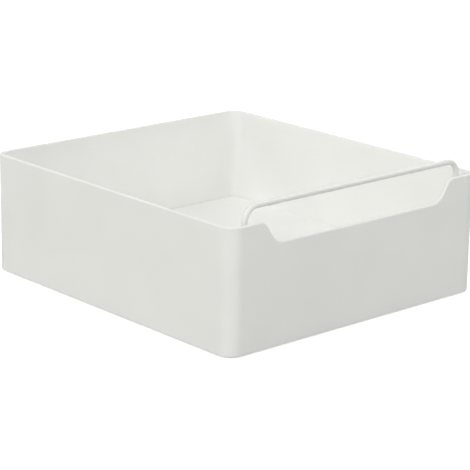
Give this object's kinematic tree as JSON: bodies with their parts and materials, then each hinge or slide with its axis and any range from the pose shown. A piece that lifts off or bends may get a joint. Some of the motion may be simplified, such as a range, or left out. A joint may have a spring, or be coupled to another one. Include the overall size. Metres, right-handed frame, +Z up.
{
  "type": "pull-out cabinet organizer",
  "caption": "Open-topped moulded cabinet bin with a hand notch in its front wall, a folding wire handle, hidden rear rollers and front rubber feet.",
  "frame": {"origin": "middle of the footprint on the shelf, under the feet and rollers", "axes": "+X to the right seen from the front, +Y from the front wall to the back, +Z up"},
  "size_m": [0.27, 0.296, 0.1154],
  "materials": {
    "bin_plastic": "satin",
    "wire_coating": "satin",
    "pivot_nylon": "satin",
    "screw_steel": "zinc plated",
    "bracket_plastic": "satin",
    "axle_steel": "bright drawn",
    "hub_plastic": "satin",
    "tyre_rubber": "matt",
    "foot_rubber": "matt"
  },
  "bodies": {
    "bin": {"bin_shell": "bin_plastic", "bracket_screws": "screw_steel", "front_foot_left": "foot_rubber", "front_foot_right": "foot_rubber", "handle_pivot_left": "pivot_nylon", "handle_pivot_right": "pivot_nylon", "pivot_screws": "screw_steel", "roller_axle_left": "axle_steel", "roller_axle_right": "axle_steel", "roller_bracket_left": "bracket_plastic", "roller_bracket_right": "bracket_plastic"},
    "handle": {"handle_wire": "wire_coating"},
    "roller_left": {"roller_hub_left": "hub_plastic", "roller_tyre_left": "tyre_rubber"},
    "roller_right": {"roller_hub_right": "hub_plastic", "roller_tyre_right": "tyre_rubber"}
  },
  "joints": [
    {"name": "handle_fold", "type": "hinge", "parent": "bin", "child": "handle", "pos_m": [0, -0.13961, 0.0732], "axis": [-1, 0, 0], "range_deg": [0, 169]},
    {"name": "roller_left_spin", "type": "hinge", "parent": "bin", "child": "roller_left", "pos_m": [-0.1, 0.113, 0.007], "axis": [1, 0, 0], "continuous": true},
    {"name": "roller_right_spin", "type": "hinge", "parent": "bin", "child": "roller_right", "pos_m": [0.1, 0.113, 0.007], "axis": [1, 0, 0], "continuous": true}
  ]
}
